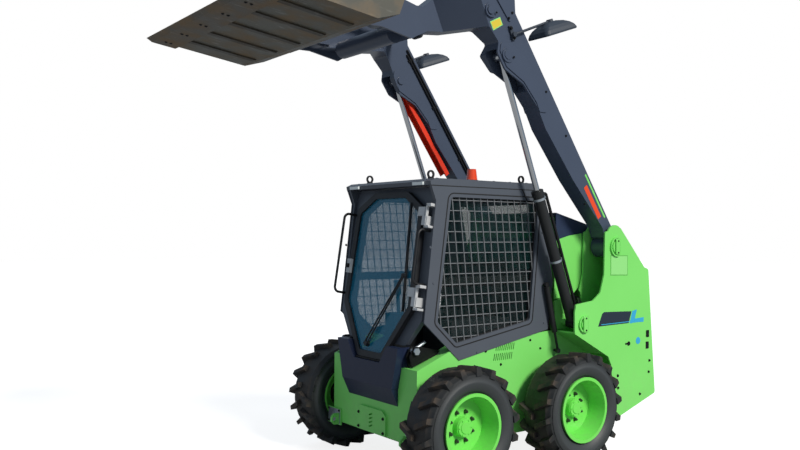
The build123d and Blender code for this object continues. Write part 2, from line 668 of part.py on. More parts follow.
def many_sided(start, end, mode=Mode.ADD):
    """A length of the tyre between two (x, radius), with a flat for each lug."""
    faces = []
    for x, r in (start, end):
        with BuildSketch(Plane(origin=(x, 0, 0), x_dir=(0, 1, 0), z_dir=(1, 0, 0))) as ring:
            RegularPolygon(r, 2 * lug_count, rotation=90 / lug_count)
        faces.append(ring.sketch.face())
    loft(faces, ruled=True, mode=mode)


with BuildPart() as tyre:
    for start, end in zip(carcass, carcass[1:]):
        many_sided(start, end)
    for hand in (-1, 1):
        for i in range(lug_count):
            turn = 360 / lug_count * (i + (0.5 if hand > 0 else 0))
            radial = (0, cos(radians(turn)), sin(radians(turn)))
            with BuildSketch(Plane(origin=Vector(radial) * lug_foot_r, x_dir=(1, 0, 0), z_dir=radial)) as foot:
                with BuildLine():
                    Polyline((hand * 4, -50), (hand * 132, 14), (hand * 132, 60), (hand * 4, 0), close=True)
                make_face()
            extrude(foot.sketch, amount=tyre_r - lug_foot_r - 1.2, taper=7)
    for hand in (-1, 1):
        many_sided((hand * bead[0], bead[1]), (hand * carcass[-1][0], carcass[-1][1]), mode=Mode.SUBTRACT)
    with Locations(Plane.YZ):
        Cylinder(rim_r, 2 * tyre_width, mode=Mode.SUBTRACT)

with BuildPart() as rim:
    with BuildSketch(Plane.XY) as profile:
        with BuildLine():
            Polyline(
                (-105, 202), (-20, 190), (-15, 125), (-15, 0), (35, 0), (35, 62), (-3, 66), (-3, 178),
                (127, 203), (127, 224), (119, 224), (119, 214), (-105, 214), close=True,
            )
        make_face()
    revolve(profile.sketch, axis=Axis.X)

# wheel name, which side, y
wheels = [
    ("front_left", 1, -axle_y), ("front_right", -1, -axle_y), ("rear_left", 1, axle_y), ("rear_right", -1, axle_y),
]
for name, hand, y in wheels:
    hub = Location((hand * track_x, mid_y + y, tyre_r), (0, 0, 0 if hand > 0 else 180))
    save(tyre.part.moved(hub), f"tyre_{name}")
    save(rim.part.moved(hub), f"rim_{name}")
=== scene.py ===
"""A skid steer loader with its lift arms raised: paint, rubber, glass and small fittings.

Metres, in the frame of the solids: +Z up, the machine faces -Y and its left side is +X.
"""

import json
from math import cos, pi, radians, sin

import bmesh
import bpy
from mathutils import Matrix, Vector


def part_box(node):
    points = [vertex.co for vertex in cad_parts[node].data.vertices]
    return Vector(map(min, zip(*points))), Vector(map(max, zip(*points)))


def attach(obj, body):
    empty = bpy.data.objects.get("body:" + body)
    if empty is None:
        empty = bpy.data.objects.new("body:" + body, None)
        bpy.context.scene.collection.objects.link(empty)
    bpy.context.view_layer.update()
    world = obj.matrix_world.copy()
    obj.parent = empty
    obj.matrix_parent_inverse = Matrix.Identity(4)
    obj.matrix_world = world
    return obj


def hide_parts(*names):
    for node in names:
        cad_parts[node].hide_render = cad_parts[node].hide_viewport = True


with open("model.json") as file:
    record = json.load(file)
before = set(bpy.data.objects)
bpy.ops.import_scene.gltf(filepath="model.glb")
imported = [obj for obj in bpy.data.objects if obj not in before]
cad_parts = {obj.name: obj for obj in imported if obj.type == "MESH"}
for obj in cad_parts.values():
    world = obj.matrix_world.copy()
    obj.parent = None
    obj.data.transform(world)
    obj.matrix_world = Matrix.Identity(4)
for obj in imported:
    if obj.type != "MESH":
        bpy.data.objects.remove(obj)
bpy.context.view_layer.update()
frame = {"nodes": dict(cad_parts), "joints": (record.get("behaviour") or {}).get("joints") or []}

# ---- lower frame and towers: paint -------------------------------------------
# Folded and welded plate, sprayed apple green and baked. Spraying leaves a faint
# orange peel, and dust settles near the ground. Axles and engine are bare iron.


class Value:
    """A socket of some nodes, so that shader maths is written as arithmetic."""

    def __init__(self, nodes, socket):
        self.nodes = nodes
        self.socket = socket

    def maths(self, operation, first, second):
        return self.nodes.node("ShaderNodeMath", {"operation": operation}, {0: first, 1: second})

    def __add__(self, other):
        return self.maths("ADD", self, other)

    def __radd__(self, other):
        return self.maths("ADD", other, self)

    def __sub__(self, other):
        return self.maths("SUBTRACT", self, other)

    def __rsub__(self, other):
        return self.maths("SUBTRACT", other, self)

    def __mul__(self, other):
        return self.maths("MULTIPLY", self, other)


class Nodes:
    """The nodes of a finish or of the sky."""

    def __init__(self, tree):
        self.tree = tree

    def feed(self, socket, value):
        """A constant, or what varies, into a socket."""
        if isinstance(value, Value):
            self.tree.links.new(value.socket, socket)
        else:
            socket.default_value = value

    def node(self, kind, settings=None, sockets=None, output=0):
        """Any node: its type, its settings, then the values or links of its sockets."""
        made = self.tree.nodes.new(kind)
        for name, value in (settings or {}).items():
            setattr(made, name, value)
        for socket, value in (sockets or {}).items():
            self.feed(made.inputs[socket], value)
        return Value(self, made.outputs[output])

    def over(self, value, start, end):
        """0 below start, 1 above end, and a straight run between."""
        sockets = {0: value, 1: start, 2: end}
        return self.node("ShaderNodeMapRange", {"clamp": True}, sockets)

    def blend(self, factor, first, second):
        """A colour between two others."""
        sockets = {0: factor, 6: first, 7: second}
        return self.node("ShaderNodeMix", {"data_type": "RGBA"}, sockets, output=2)


class Finish(Nodes):
    """A material with one Principled shader, put on solids and on new pieces."""

    def __init__(self, name, colour, metallic=0.0, **constants):
        self.material = bpy.data.materials.new(name)
        self.material.use_nodes = True
        super().__init__(self.material.node_tree)
        self.shader = self.tree.nodes["Principled BSDF"]
        self.set("Base Color", shade(colour))
        self.set("Metallic", metallic)
        for socket, value in constants.items():
            self.set(socket.replace("_", " "), value)

    def set(self, socket, value):
        """A constant, or what varies over the surface, into one of the shader's sockets."""
        self.feed(self.shader.inputs[socket], value)

    def place(self):
        """Where a point is on the finished machine."""
        return self.node("ShaderNodeTexCoord", output="Object")

    def cloud(self, scale, detail=4.0, where=None):
        """Soft random mottle from 0 to 1."""
        sockets = {"Vector": where or self.place(), "Scale": scale, "Detail": detail}
        return self.node("ShaderNodeTexNoise", sockets=sockets)

    def sheen(self, smoothest, scale, spread):
        """Roughness that varies a little, by spread, over patches of a scale."""
        self.set("Roughness", smoothest + self.cloud(scale) * spread)

    def relief(self, height, depth):
        """Raised or sunk texture, depth in metres."""
        bump = self.node("ShaderNodeBump", sockets={"Height": height, "Distance": depth})
        self.set("Normal", bump)

    def cover(self, *nodes):
        """The finish on solids of the frame, named."""
        for node in nodes:
            slots = frame["nodes"][node].data.materials
            slots.clear()
            slots.append(self.material)


def shade(code):
    """A web colour such as #66cc44 as the linear colour that a shader takes."""
    parts = [int(code[i : i + 2], 16) / 255 for i in (1, 3, 5)]
    linear = [p / 12.92 if p <= 0.04045 else ((p + 0.055) / 1.055) ** 2.4 for p in parts]
    return (*linear, 1.0)


def paint(name, colour, shaded, dust, roughness, dusty):
    """Baked spray paint: slight mottle, orange peel, dust low down on the machine."""
    coat = Finish(name, colour, Coat_Weight=0.12, Coat_Roughness=0.15, Specular_IOR_Level=0.35)
    mottle = coat.over(coat.cloud(2.2, 3.0), 0.35, 0.7)
    painted = coat.blend(mottle * 0.35, shade(colour), shade(shaded))
    height = coat.node("ShaderNodeSeparateXYZ", sockets={0: coat.place()}, output="Z")
    low = 1 - coat.over(height, 0.15, 0.75)
    settled = low * coat.over(coat.cloud(14.0, 6.0), 0.4, 0.75) * dusty
    coat.set("Base Color", coat.blend(settled, painted, shade(dust)))
    coat.set("Roughness", roughness + settled * 0.5 + coat.cloud(60.0) * 0.06)
    coat.relief(coat.cloud(320.0, 2.0), 0.00006)
    return coat


green_paint = paint("green_paint", "#7edc6c", "#72d25f", "#8f9a7c", 0.36, 0.2)
green_paint.cover("lower_frame", "tower_left", "tower_right", "rear_door")
iron = Finish("bare_iron", "#23211f", 0.6)
iron.sheen(0.5, 40.0, 0.25)
iron.relief(iron.cloud(90.0, 5.0), 0.0006)
iron.cover("axle_housings", "engine_block")

# ---- lower frame: fittings ---------------------------------------------------
# Zinc-plated shackle plates over the front corners, hex bolts round the hatch and
# along the walls. The cab tips up on a bracket and pin behind each front corner.


def piece(name, shape, body, finish, smooth=False):
    """A finished bmesh as a named object that rides on a body."""
    bmesh.ops.recalc_face_normals(shape, faces=shape.faces)
    mesh = bpy.data.meshes.new(name)
    shape.to_mesh(mesh)
    shape.free()
    made = bpy.data.objects.new(name, mesh)
    bpy.context.scene.collection.objects.link(made)
    mesh.materials.append(finish.material)
    for face in mesh.polygons:
        face.use_smooth = smooth
    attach(made, body)
    return made


def box(shape, low, high, bevel=0.0, turn=None):
    """A box between two corners, with its edges rounded, turned about its centre."""
    low, high = Vector(low), Vector(high)
    made = bmesh.ops.create_cube(shape, size=1.0)["verts"]
    size = [abs(b - a) for a, b in zip(low, high)]
    bmesh.ops.scale(shape, vec=size, verts=made)
    if bevel:
        edges = list(dict.fromkeys(edge for vert in made for edge in vert.link_edges))
        made = bmesh.ops.bevel(
            shape, geom=edges, offset=bevel, segments=2, profile=0.5, affect="EDGES", material=-1
        )["verts"]
    if turn:
        bmesh.ops.rotate(shape, matrix=turn, verts=made)
    bmesh.ops.translate(shape, vec=(low + high) / 2, verts=made)


def rod(shape, start, end, r, r_end=None, sides=24):
    """A round bar or a cone between two points."""
    start, end = Vector(start), Vector(end)
    line = end - start
    far_r = r if r_end is None else r_end
    made = bmesh.ops.create_cone(
        shape, cap_ends=True, segments=sides, radius1=r, radius2=far_r, depth=line.length
    )["verts"]
    turn = Vector((0, 0, 1)).rotation_difference(line).to_matrix()
    bmesh.ops.rotate(shape, matrix=turn, verts=made)
    bmesh.ops.translate(shape, vec=(start + end) / 2, verts=made)


def bolt(shape, foot, axis, across=0.016, tall=0.008):
    """A hex head on its washer, standing on a surface."""
    foot, axis = Vector(foot), Vector(axis).normalized()
    washer = 0.0015
    rod(shape, foot, foot + axis * washer, across * 0.68, sides=16)
    rod(shape, foot + axis * washer, foot + axis * tall, across * 0.56, across * 0.52, sides=6)


wheel_centres = {}
for name in ("front_left", "front_right", "rear_left", "rear_right"):
    low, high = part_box(f"rim_{name}")
    wheel_centres[name] = (low + high) / 2
mid_y = (wheel_centres["front_left"].y + wheel_centres["rear_left"].y) / 2


def at(x, y, z):
    """A point whose y is counted from mid-wheelbase, as the machine is drawn."""
    return Vector((x, mid_y + y, z))


def side_patch(shape, corners, x_from, x_to):
    """A flat plate drawn as (y, z) corners in the side view, from one x to another."""
    face = shape.faces.new([shape.verts.new(at(x_from, y, z)) for y, z in corners])
    pulled = bmesh.ops.extrude_face_region(shape, geom=[face])["geom"]
    moved = [part for part in pulled if isinstance(part, bmesh.types.BMVert)]
    bmesh.ops.translate(shape, vec=(x_to - x_from, 0, 0), verts=moved)


zinc = Finish("zinc_plate", "#b9c3cb", 0.85)
zinc.sheen(0.28, 30.0, 0.2)
front_face, hatch_face, wall_x = -0.712, -0.716, 0.490
plate_face = front_face - 0.002
plates = bmesh.new()
for hand in (-1, 1):
    box(plates, at(hand * 0.388, plate_face, 0.220), at(hand * 0.545, front_face, 0.326), 0.0008)
    boss = at(hand * 0.470, front_face, 0.290)
    rod(plates, boss - Vector((0, 0.006, 0)), boss, 0.019)
piece("shackle_plates", plates, "chassis", zinc)

black_steel = Finish("black_steel", "#1b1c1e", 0.7)
black_steel.sheen(0.4, 25.0, 0.2)
frame_bolts = bmesh.new()
for x in (-0.145, 0.145):
    for z in (0.262, 0.358):
        bolt(frame_bolts, at(x, hatch_face, z), (0, -1, 0))
for hand in (-1, 1):
    for x, z in ((0.400, 0.318), (0.533, 0.318), (0.533, 0.230)):
        bolt(frame_bolts, at(hand * x, plate_face, z), (0, -1, 0), 0.012, 0.006)
    for y, z in ((-0.12, 0.80), (0.30, 0.845), (0.02, 0.700), (0.40, 0.780)):
        bolt(frame_bolts, at(hand * wall_x, y, z), (hand, 0, 0), 0.013, 0.007)
piece("frame_bolts", frame_bolts, "chassis", black_steel)

bracket = [
    (-0.680, 0.730), (-0.700, 0.800), (-0.665, 0.858),
    (-0.610, 0.858), (-0.450, 0.822), (-0.480, 0.795),
]
bracket_plate = 0.008
pin_y, pin_z = -0.655, 0.832
brackets, pins = bmesh.new(), bmesh.new()
for hand in (-1, 1):
    for x in (0.368, 0.404):
        side_patch(brackets, bracket, hand * x, hand * (x + bracket_plate))
    inner, outer, end = (at(hand * x, pin_y, pin_z) for x in (0.358, 0.424, 0.434))
    rod(pins, inner, outer, 0.015)
    rod(pins, outer, end, 0.024, sides=6)
    rod(pins, at(hand * 0.390, pin_y, 0.836), at(hand * 0.390, -0.560, 0.882), 0.011)
piece("cab_pivot_brackets", brackets, "chassis", black_steel)
piece("cab_pivot_pins", pins, "chassis", zinc)

# ---- towers: plates, labels and keepers --------------------------------------
# Each tower carries a blank slanted name plate, a pale decal and a round one, all thin
# printed film. Keepers are bolted over the pivot pins, black latches lie behind them,
# and a plate closes the front of the inner wall.


def grown(points, by):
    """A convex outline moved out by the same amount all round."""
    turn = sum(a[0] * b[1] - b[0] * a[1] for a, b in zip(points, points[1:] + points[:1]))
    way = 1 if turn > 0 else -1
    moved = []
    for before, corner, after in zip(points[-1:] + points[:-1], points, points[1:] + points[:1]):
        first = (Vector(corner) - Vector(before)).normalized()
        second = (Vector(after) - Vector(corner)).normalized()
        off_first = Vector((first.y, -first.x)) * way
        off_second = Vector((second.y, -second.x)) * way
        mitre = (off_first + off_second) / (1 + off_first.dot(off_second))
        moved.append(tuple(Vector(corner) + mitre * by))
    return moved


pin_proud = 0.014  # how far the pivot pins stand out of the tower's outer plate
tower_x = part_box("tower_left")[1].x - pin_proud
film, two_films = 0.0008, 0.00128
navy_film = Finish("navy_film", "#0f2233", Coat_Weight=0.3)
navy_film.sheen(0.25, 20.0, 0.12)
blue_film = Finish("blue_film", "#2ba4d2", Coat_Weight=0.3)
blue_film.sheen(0.25, 20.0, 0.12)
frame_film = Finish("frame_film", "#62b552")
frame_film.sheen(0.35, 20.0, 0.12)
pale_film = Finish("pale_film", "#8fdd80")
pale_film.sheen(0.35, 20.0, 0.12)
name_plate = [(0.767, 0.930), (1.109, 0.936), (1.141, 1.022), (0.835, 1.031), (0.812, 1.020)]
name_stripe = [(1.119, 0.932), (1.170, 0.936), (1.202, 1.032), (1.151, 1.024)]
name_tab = [(1.170, 0.936), (1.282, 0.936), (1.284, 0.970), (1.182, 0.966)]
name_line = [(0.800, 0.939), (1.119, 0.944), (1.121, 0.949), (0.802, 0.944)]
decal = [(0.900, 1.292), (1.095, 1.288), (1.095, 1.437), (0.900, 1.440)]
dark_plates, blue_marks, pale_decals, pale_frames = (bmesh.new() for _ in range(4))
for hand in (-1, 1):
    skin, first, second = (hand * (tower_x + out) for out in (0, film, two_films))
    side_patch(dark_plates, name_plate, skin, first)
    for outline in (name_stripe, name_tab):
        side_patch(blue_marks, outline, skin, first)
    side_patch(blue_marks, name_line, first, second)
    rod(blue_marks, at(skin, 1.218, 0.799), at(first, 1.218, 0.799), 0.026, sides=32)
    side_patch(pale_frames, decal, skin, first)
    side_patch(pale_decals, grown(decal, -0.007), first, second)
piece("blank_name_plates", dark_plates, "chassis", navy_film)
piece("blue_marks", blue_marks, "chassis", blue_film)
piece("decal_frames", pale_frames, "chassis", frame_film)
piece("pale_decals", pale_decals, "chassis", pale_film)

hinges = [joint for joint in frame["joints"] if joint["type"] == "hinge"]
pivots = {joint["name"]: Vector(joint["pos_m"]) for joint in hinges}
keepers, latches, tower_bolts = (bmesh.new() for _ in range(3))
keeper_half = 0.058
for hand in (-1, 1):
    out = (hand, 0, 0)
    for pivot in (pivots["boom"], pivots["lift_barrel_left_swing"]):
        low = Vector((hand * (tower_x + 0.009), pivot.y - 0.024, pivot.z - keeper_half))
        high = Vector((hand * (tower_x + 0.021), pivot.y + 0.022, pivot.z + keeper_half))
        box(keepers, low, high, 0.009)
        for lift in (-0.042, 0.042):
            foot = Vector((hand * (tower_x + 0.020), pivot.y, pivot.z + lift))
            bolt(tower_bolts, foot, out, 0.010, 0.005)
    skin, latch_face = hand * tower_x, hand * (tower_x + 0.004)
    for y, z in ((1.329, 0.844), (1.326, 0.758)):
        box(latches, at(skin, y - 0.017, z - 0.026), at(latch_face, y + 0.017, z + 0.026), 0.0015)
    rod(latches, at(skin, 1.108, 0.785), at(hand * (tower_x + 0.005), 1.108, 0.785), 0.015)
    box(latches, at(skin, 1.070, 0.779), at(latch_face, 1.108, 0.791), 0.0015)
    for y, z in ((1.344, 0.555), (1.352, 0.640), (1.240, 0.400), (0.990, 0.470), (0.985, 0.560)):
        bolt(tower_bolts, at(skin, y, z), out, 0.015, 0.008)
piece("pivot_keepers", keepers, "chassis", green_paint)
piece("tower_latches", latches, "chassis", black_steel)
piece("tower_bolts", tower_bolts, "chassis", black_steel)

webs = bmesh.new()
web = [
    (0.548, 1.120), (0.560, 1.500), (0.572, 1.538), (0.600, 1.553), (0.700, 1.578),
    (0.838, 1.596), (0.845, 1.500), (0.838, 1.290), (0.805, 1.200), (0.745, 1.150),
]
inner_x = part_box("tower_left")[0].x
for hand in (-1, 1):
    side_patch(webs, web, hand * (inner_x + 0.003), hand * (inner_x + 0.011))
piece("tower_webs", webs, "chassis", green_paint)

# ---- towers: hydraulic lines -------------------------------------------------
# Steel pipes bent from the pump up through the round hole in the tower's inner plate,
# and on to the lift cylinder's port block.


def pipe(name, body, points, r):
    """A bent steel pipe near a few points, as a smooth tube."""
    line = bpy.data.curves.new(name, "CURVE")
    line.dimensions = "3D"
    line.bevel_depth = r
    line.bevel_resolution = 3
    line.resolution_u = 8
    line.use_fill_caps = True
    spline = line.splines.new("NURBS")
    spline.points.add(len(points) - 1)
    for knot, point in zip(spline.points, points):
        knot.co = (*point, 1)
    spline.order_u = 3
    spline.use_endpoint_u = True
    drawn = bpy.data.objects.new(name, line)
    bpy.context.scene.collection.objects.link(drawn)
    bpy.context.view_layer.update()
    evaluated = drawn.evaluated_get(bpy.context.evaluated_depsgraph_get())
    mesh = bpy.data.meshes.new_from_object(evaluated)
    bpy.data.objects.remove(drawn)
    shape = bmesh.new()
    shape.from_mesh(mesh)
    bpy.data.meshes.remove(mesh)
    bmesh.ops.remove_doubles(shape, verts=shape.verts, dist=0.00005)
    piece(name, shape, body, pipe_paint, smooth=True)


pipe_paint = Finish("pipe_paint", "#141517", 0.3)
pipe_paint.sheen(0.3, 50.0, 0.2)
port_route = [
    (0.470, 0.790, 1.120), (0.520, 0.760, 1.120), (0.560, 0.730, 1.100),
    (0.600, 0.690, 1.040), (0.600, 0.672, 1.000),
]
for hand, side_name in ((1, "left"), (-1, "right")):
    for number, shift in enumerate((0.0, 0.030)):
        route = [at(hand * x, y + shift, z - shift) for x, y, z in port_route]
        pipe(f"port_pipe_{side_name}_{number}", "chassis", route, 0.013)

# ---- wheels: tyres -----------------------------------------------------------
# Industrial tyres with deep chevron lugs. Clay sticks between the lugs and rubs off
# brown on their flanks; the sidewalls are moulded with stepped rings.


def rubber(name, centre):
    """Tyre rubber, with dry clay near the tread of the wheel at a centre; a painted sheen greys
    the sidewall and painted shade darkens the tread.
    """
    made = Finish(name, "#232527")
    sockets = {0: made.place(), 1: (-centre.x, -centre.y, -centre.z)}
    shift = made.node("ShaderNodeMapping", {"vector_type": "POINT"}, sockets)
    flat = made.node("ShaderNodeVectorMath", {"operation": "MULTIPLY"}, {0: shift, 1: (0, 1, 1)})
    radius = made.node("ShaderNodeVectorMath", {"operation": "LENGTH"}, {0: flat}, output=1)
    tread = made.over(radius, 0.345, 0.385)
    clay = made.over(made.cloud(16.0, 6.0, shift), 0.38, 0.66) * tread
    # painted light: the paler grey low on the sidewall is a painted sun sheen, and the darker
    # rubber towards the tread is painted shade
    sheen_and_shade_grey = made.blend(made.over(radius, 0.30, 0.34), shade("#34383b"), shade("#191b1d"))
    made.set("Base Color", made.blend(clay * 0.75, sheen_and_shade_grey, shade("#55473a")))
    made.set("Roughness", 0.52 + clay * 0.4)
    made.relief(made.cloud(120.0, 4.0, shift), 0.0008)
    return made


# the moulded rings' profile from bead to shoulder: out from the middle, and radius
wall = [
    (0.101, 0.2265), (0.121, 0.2420), (0.1345, 0.2850),
    (0.1355, 0.2960), (0.1335, 0.2990), (0.1290, 0.3240),
]
for name, centre in wheel_centres.items():
    tyre_rubber = rubber(f"tyre_rubber_{name}", centre)
    tyre_rubber.cover(f"tyre_{name}")
    low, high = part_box(f"tyre_{name}")
    middle = (low + high) / 2
    rings = bmesh.new()
    for way in (-1, 1):
        line = [rings.verts.new(middle + Vector((way * out, 0, r))) for out, r in wall]
        edges = [rings.edges.new(pair) for pair in zip(line, line[1:])]
        bmesh.ops.spin(
            rings, geom=line + edges, cent=middle, axis=(1, 0, 0),
            angle=2 * pi, steps=96, use_merge=True,
        )
    piece(f"sidewalls_{name}", rings, f"wheel_{name}", tyre_rubber, smooth=True)

# ---- wheels: rims ------------------------------------------------------------
# Pressed steel discs welded into the rims, painted as the frame is, held by eight
# studs round a bolted hub cap; the valve sits through the disc.
rim_paint = paint("rim_paint", "#74dd5c", "#66d14c", "#8f9a7c", 0.3, 0.2)
rim_paint.cover(*[f"rim_{name}" for name in wheel_centres])
stud_steel = Finish("stud_steel", "#3b4a38", 0.4)
stud_steel.sheen(0.4, 60.0, 0.2)
disc_x, stud_ring, stud_count = 0.690, 0.096, 8
cap_ring, cap_bolts = 0.048, 6
for name, centre in wheel_centres.items():
    hand = 1 if centre.x > 0 else -1
    disc = Vector((hand * disc_x, centre.y, centre.z))
    out = Vector((hand, 0, 0))
    studs = bmesh.new()
    for i in range(stud_count):
        turn = 2 * pi * (i + 0.5) / stud_count
        foot = disc - out * 0.003 + Vector((0, cos(turn), sin(turn))) * stud_ring
        rod(studs, foot, foot + out * 0.005, 0.0145, 0.0130)
        rod(studs, foot + out * 0.005, foot + out * 0.017, 0.0110, sides=6)
        rod(studs, foot + out * 0.017, foot + out * 0.024, 0.0065, sides=12)
    piece(f"wheel_studs_{name}", studs, f"wheel_{name}", stud_steel)
    cap = bmesh.new()
    face = disc + out * 0.035
    rod(cap, face, face + out * 0.010, 0.060, 0.056, sides=48)
    rod(cap, face + out * 0.010, face + out * 0.016, 0.040, 0.036, sides=48)
    for i in range(cap_bolts):
        turn = 2 * pi * i / cap_bolts
        foot = face + out * 0.010 + Vector((0, cos(turn), sin(turn))) * cap_ring
        bolt(cap, foot, out, 0.009, 0.005)
    piece(f"hub_cap_{name}", cap, f"wheel_{name}", rim_paint)
    valve = bmesh.new()
    foot = disc + Vector((-hand * 0.003, -0.150, 0.020))
    rod(valve, foot, foot + Vector((hand * 0.045, -0.012, 0)), 0.0045, sides=12)
    piece(f"valve_{name}", valve, f"wheel_{name}", black_steel)

# ---- cab: shell --------------------------------------------------------------
# A folded steel shell in charcoal paint, with wire guards. A rubber bead runs round
# each side window, two seams cross the roof, and low round screws hold the sheets.
charcoal = paint("charcoal_paint", "#4f555f", "#444a54", "#6a655e", 0.42, 0.2)
charcoal.cover("cab_frame")
guard_paint = Finish("guard_paint", "#7b7e82", 0.35)
guard_paint.sheen(0.4, 40.0, 0.15)
guard_paint.cover("side_guard_left", "side_guard_right")
black_rubber = Finish("black_rubber", "#101113")
black_rubber.sheen(0.55, 45.0, 0.2)
cab_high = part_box("cab_frame")[1]


def flat_ring(shape, inner, outer, x_from, x_to):
    """A frame between two side-view outlines with as many corners, from one x to another."""
    for first in range(len(inner)):
        second = (first + 1) % len(inner)
        side_patch(shape, [inner[first], outer[first], outer[second], inner[second]], x_from, x_to)


def rounded(points, r):
    """A convex outline with its corners cut to arcs, as (y, z) pairs."""
    steps = 5
    outline = []
    for before, corner, after in zip(points[-1:] + points[:-1], points, points[1:] + points[:1]):
        here = Vector(corner)
        back = (Vector(before) - here).normalized()
        on = (Vector(after) - here).normalized()
        half = back.angle(on) / 2
        centre = here + (back + on).normalized() * (r / sin(half))
        start = here + back * (r / (sin(half) / cos(half))) - centre
        sweep = pi - 2 * half
        way = 1 if back.cross(on) < 0 else -1
        for i in range(steps + 1):
            turned = Matrix.Rotation(way * sweep * i / steps, 2) @ start
            outline.append(tuple(centre + turned))
    return outline


window = [(-0.430, 1.827), (0.372, 1.823), (0.289, 0.985), (-0.380, 0.873), (-0.540, 1.020)]
cab_x, roof_z = cab_high.x, cab_high.z
bead = (rounded(grown(window, 0.022), 0.045), rounded(grown(window, 0.029), 0.052))
lip = (rounded(grown(window, -0.006), 0.019), rounded(window, 0.025))
beads = bmesh.new()
for hand in (-1, 1):
    flat_ring(beads, *bead, hand * cab_x, hand * (cab_x + 0.0025))
    flat_ring(beads, *lip, hand * (cab_x - 0.034), hand * (cab_x - 0.016))
piece("window_beads", beads, "chassis", black_rubber)

seams = bmesh.new()
corner_seam = [(0.205, 1.9005), (0.217, 1.9005), (0.262, 1.823), (0.250, 1.823)]
gutter = [(-0.598, 1.9005), (0.385, 1.9005), (0.386, 1.8945), (-0.596, 1.8945)]
for y in (-0.330, 0.215):
    box(seams, at(-0.470, y, roof_z), at(0.470, y + 0.012, roof_z + 0.003), 0.001)
for hand in (-1, 1):
    side_patch(seams, corner_seam, hand * cab_x, hand * (cab_x + 0.0015))
    side_patch(seams, gutter, hand * cab_x, hand * (cab_x + 0.0012))
piece("roof_seams", seams, "chassis", black_rubber)

roof_screws = (-0.520, -0.250, -0.020, 0.130, 0.290)
side_screws = [
    (-0.575, 1.270), (-0.603, 1.500), (0.410, 1.600),
    (0.455, 1.300), (0.430, 0.960), (-0.200, 0.800),
]
screws = bmesh.new()
for hand in (-1, 1):
    for y in roof_screws:
        foot = at(hand * 0.455, y, roof_z)
        rod(screws, foot, foot + Vector((0, 0, 0.005)), 0.011, 0.008, 16)
    for y, z in side_screws:
        foot = at(hand * cab_x, y, z)
        rod(screws, foot, foot + Vector((hand * 0.004, 0, 0)), 0.009, 0.007, 16)
piece("cab_screws", screws, "chassis", charcoal)

# ---- cab: eyes, lamps and beacon ---------------------------------------------
# Forged lifting eyes and bent handles, black. Two strip lamps with clear lenses sit
# under the roof's front edge, and an orange beacon stands on a black base.
black_paint = Finish("black_paint", "#1d1e21", 0.2)
black_paint.sheen(0.38, 45.0, 0.15)
black_paint.relief(black_paint.cloud(260.0, 2.0), 0.00008)
black_paint.cover("lifting_eyes", "grab_handles", "gas_struts")
lens = Finish("lamp_lens", "#dfe8ea", Coat_Weight=1.0)
lens.sheen(0.1, 80.0, 0.1)
lens.cover("roof_lamps")
orange = Finish("orange_lens", "#ee4410", Coat_Weight=0.8)
orange.set("Base Color", orange.blend(orange.cloud(9.0) * 0.5, shade("#f04a12"), shade("#d93a0c")))
orange.sheen(0.15, 50.0, 0.1)
orange.cover("beacon")
low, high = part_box("beacon")
base = bmesh.new()
foot = Vector(((low.x + high.x) / 2, (low.y + high.y) / 2, low.z))
upright = Vector((0, 0, 1))
rod(base, foot, foot + upright * 0.012, 0.054, sides=48)
rod(base, foot + upright * 0.012, foot + upright * 0.020, 0.050, 0.043, 48)
rod(base, foot + upright * 0.092, foot + upright * 0.0965, 0.031, 0.026, 32)
piece("beacon_base", base, "chassis", black_rubber)

# ---- cab: glass --------------------------------------------------------------
# Toughened glass: blue in the door, green at the back of the cab, and only faintly
# dark at the sides.
tinted = Finish("tinted_glass", "#1f7f9f", Alpha=0.62, Specular_IOR_Level=0.8)
tinted.set("Base Color", tinted.blend(tinted.cloud(1.2), shade("#1f7f9f"), shade("#176c8c")))
tinted.sheen(0.03, 3.0, 0.03)
tinted.cover("door_glass")
rear_tint = Finish("rear_tint", "#5aa79b", Alpha=0.55, Specular_IOR_Level=0.6)
rear_tint.sheen(0.03, 3.0, 0.03)
rear_tint.cover("cab_glass")
side_tint = Finish("side_tint", "#122b2b", Alpha=0.24, Specular_IOR_Level=0.6)
side_tint.sheen(0.03, 3.0, 0.03)

# ---- cab: rails, lining and mat ----------------------------------------------
# Each side window is tinted glass that slides behind a black middle rail. Black felt
# lines the walls under the windows, and a ribbed rubber mat covers the floor.
trim = Finish("black_trim", "#15171b")
trim.sheen(0.7, 45.0, 0.2)
trim.relief(trim.cloud(500.0, 3.0), 0.0003)
rails, panes, linings = bmesh.new(), bmesh.new(), bmesh.new()
lining = [(-0.640, 0.492), (0.400, 0.492), (0.400, 0.862), (-0.330, 0.822), (-0.640, 0.698)]
mat_top, rib_count, rib_pitch = 0.490, 8, 0.050
for hand in (-1, 1):
    box(rails, at(hand * 0.445, -0.510, 1.242), at(hand * 0.456, 0.322, 1.300), 0.004)
    side_patch(panes, grown(window, 0.018), hand * 0.457, hand * 0.461)
    side_patch(linings, lining, hand * 0.466, hand * 0.474)
box(linings, at(-0.340, -0.682, 0.492), at(0.340, -0.676, 0.712), 0.001)
box(linings, at(-0.470, -0.670, mat_top - 0.006), at(0.470, 0.400, mat_top), 0.002)
for i in range(rib_count):
    front, back = -0.640 + i * rib_pitch, -0.620 + i * rib_pitch
    box(linings, at(-0.230, front, mat_top), at(0.230, back, mat_top + 0.004), 0.0015)
piece("window_rails", rails, "chassis", black_rubber)
piece("side_windows", panes, "chassis", side_tint)
piece("cab_lining", linings, "chassis", trim)

# ---- cab: seat and controls --------------------------------------------------
# A black vinyl seat: two stuffed pads on a steel pan and back. The consoles and the
# control levers beside it are moulded in dark grey plastic.
vinyl = Finish("black_vinyl", "#17181b")
vinyl.sheen(0.42, 30.0, 0.2)
vinyl.relief(vinyl.cloud(420.0, 3.0), 0.0002)
console = Finish("console_plastic", "#2c3136")
console.sheen(0.5, 30.0, 0.15)
console.relief(console.cloud(500.0, 2.0), 0.00015)
console.cover("cab_controls")


